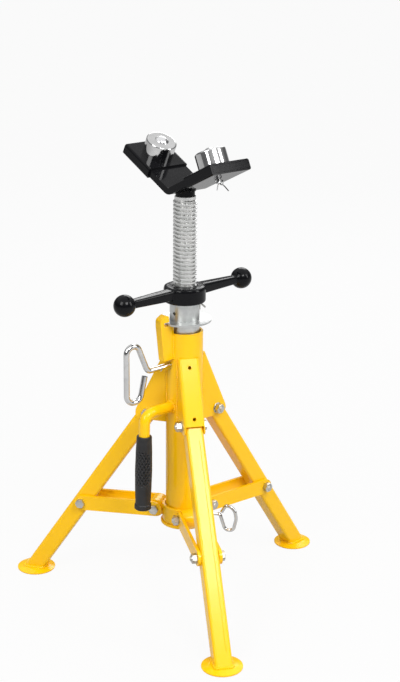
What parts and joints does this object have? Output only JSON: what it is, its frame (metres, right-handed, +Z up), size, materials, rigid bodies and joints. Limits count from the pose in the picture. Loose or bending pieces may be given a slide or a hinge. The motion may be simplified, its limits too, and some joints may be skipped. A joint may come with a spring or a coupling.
{
  "type": "pipe stand",
  "caption": "Folding tripod pipe stand with a pinned telescopic column, a screw jack with a two-armed nut, and a swivelling V head that carries ball transfer units.",
  "frame": {"origin": "on the floor, on the column's axis", "axes": "+Z up along the column; -Y towards the front leg; +X to the right of it"},
  "size_m": [0.5326, 0.4699, 0.7713],
  "materials": {
    "yellow_paint": "gloss powder coat",
    "black_paint": "gloss black",
    "zinc_plate": "zinc plated",
    "chrome_plate": "polished",
    "bright_zinc": "bright zinc",
    "ball_steel": "ground and polished",
    "black_rubber": "moulded, dimpled"
  },
  "bodies": {
    "column": {"column_tube": "yellow_paint", "stop_ring": "yellow_paint", "hold_down_hook": "yellow_paint", "handle_rod": "yellow_paint", "handle_grip": "black_rubber", "bracket_front": "yellow_paint", "bracket_left": "yellow_paint", "bracket_right": "yellow_paint", "pivot_bolts": "bright_zinc", "pivot_washers": "bright_zinc", "pivot_nuts": "bright_zinc"},
    "inner_tube": {"inner_tube": "zinc_plate", "stop_flange": "zinc_plate", "tube_clip": "bright_zinc"},
    "lock_pin": {"lock_pin_shaft": "chrome_plate", "lock_pin_handle": "chrome_plate"},
    "jack_nut": {"nut_handle": "black_paint"},
    "screw": {"jack_screw": "zinc_plate"},
    "head": {"head_post": "black_paint", "vee_plate": "black_paint", "shoe_left": "black_paint", "shoe_right": "black_paint", "ball_cup_left": "chrome_plate", "ball_cup_right": "chrome_plate", "clip_left": "chrome_plate", "clip_right": "chrome_plate"},
    "ball_left": {"roller_ball_left": "ball_steel"},
    "ball_right": {"roller_ball_right": "ball_steel"},
    "collar": {"collar_ring": "yellow_paint", "lug_front": "yellow_paint", "lug_left": "yellow_paint", "lug_right": "yellow_paint", "lug_bolts": "bright_zinc", "lug_nuts": "bright_zinc"},
    "ring_pin": {"ring_pin": "chrome_plate"},
    "leg_front": {"leg_tube_front": "yellow_paint", "foot_pad_front": "yellow_paint"},
    "strut_front": {"strap_front_a": "yellow_paint", "strap_front_b": "yellow_paint", "strap_bolt_front": "bright_zinc"},
    "leg_left": {"leg_tube_left": "yellow_paint", "foot_pad_left": "yellow_paint"},
    "strut_left": {"strap_left_a": "yellow_paint", "strap_left_b": "yellow_paint", "strap_bolt_left": "bright_zinc"},
    "leg_right": {"leg_tube_right": "yellow_paint", "foot_pad_right": "yellow_paint"},
    "strut_right": {"strap_right_a": "yellow_paint", "strap_right_b": "yellow_paint", "strap_bolt_right": "bright_zinc"}
  },
  "joints": [
    {"name": "inner_tube_lift", "type": "slide", "parent": "column", "child": "inner_tube", "axis": [0, 0, 1], "range_m": [0, 0.2286]},
    {"name": "lock_pin_pull", "type": "slide", "parent": "column", "child": "lock_pin", "axis": [-0.8988, -0.4384, 0], "range_m": [-0.0036, 0.04]},
    {"name": "nut_turn", "type": "hinge", "parent": "inner_tube", "child": "jack_nut", "pos_m": [0, 0, 0.52365], "axis": [0, 0, -1], "range_deg": [-7920, 3600]},
    {"name": "screw_raise", "type": "slide", "parent": "inner_tube", "child": "screw", "axis": [0, 0, 1], "range_m": [-0.1397, 0.0635]},
    {"name": "head_swivel", "type": "hinge", "parent": "screw", "child": "head", "pos_m": [0, 0, 0.69], "axis": [0, 0, 1], "continuous": true},
    {"name": "ball_spin_left", "type": "hinge", "parent": "head", "child": "ball_left", "pos_m": [-0.02747, 0.05509, 0.75498], "axis": [0.8949, 0.4462, 0], "continuous": true},
    {"name": "ball_spin_right", "type": "hinge", "parent": "head", "child": "ball_right", "pos_m": [0.02747, -0.05509, 0.75498], "axis": [0.8949, 0.4462, 0], "continuous": true},
    {"name": "collar_slide", "type": "slide", "parent": "column", "child": "collar", "axis": [0, 0, 1], "range_m": [0, 0.07919]},
    {"name": "ring_pin_pull", "type": "slide", "parent": "collar", "child": "ring_pin", "axis": [0.866, -0.5, 0], "range_m": [-0.0031, 0.03]},
    {"name": "leg_fold_front", "type": "hinge", "parent": "column", "child": "leg_front", "pos_m": [0, -0.059, 0.318], "axis": [1, 0, 0], "range_deg": [0, 20.5]},
    {"name": "strut_swing_front", "type": "hinge", "parent": "collar", "child": "strut_front", "pos_m": [0, -0.046, 0.1486], "axis": [1, 0, 0], "range_deg": [0, 58.91]},
    {"name": "leg_fold_left", "type": "hinge", "parent": "column", "child": "leg_left", "pos_m": [-0.0511, 0.0295, 0.318], "axis": [-0.5, -0.866, 0], "range_deg": [0, 20.5]},
    {"name": "strut_swing_left", "type": "hinge", "parent": "collar", "child": "strut_left", "pos_m": [-0.03984, 0.023, 0.1486], "axis": [-0.5, -0.866, 0], "range_deg": [0, 58.91]},
    {"name": "leg_fold_right", "type": "hinge", "parent": "column", "child": "leg_right", "pos_m": [0.0511, 0.0295, 0.318], "axis": [-0.5, 0.866, 0], "range_deg": [0, 20.5]},
    {"name": "strut_swing_right", "type": "hinge", "parent": "collar", "child": "strut_right", "pos_m": [0.03984, 0.023, 0.1486], "axis": [-0.5, 0.866, 0], "range_deg": [0, 58.91]}
  ],
  "couplings": [
    {"joint": "screw_raise", "follows": "nut_turn", "m_per_rad": 0.0010106},
    {"joint": "leg_fold_front", "follows": "collar_slide", "rad_per_m": 4.5181},
    {"joint": "strut_swing_front", "follows": "collar_slide", "rad_per_m": 12.983},
    {"joint": "leg_fold_left", "follows": "collar_slide", "rad_per_m": 4.5181},
    {"joint": "strut_swing_left", "follows": "collar_slide", "rad_per_m": 12.983},
    {"joint": "leg_fold_right", "follows": "collar_slide", "rad_per_m": 4.5181},
    {"joint": "strut_swing_right", "follows": "collar_slide", "rad_per_m": 12.983}
  ]
}
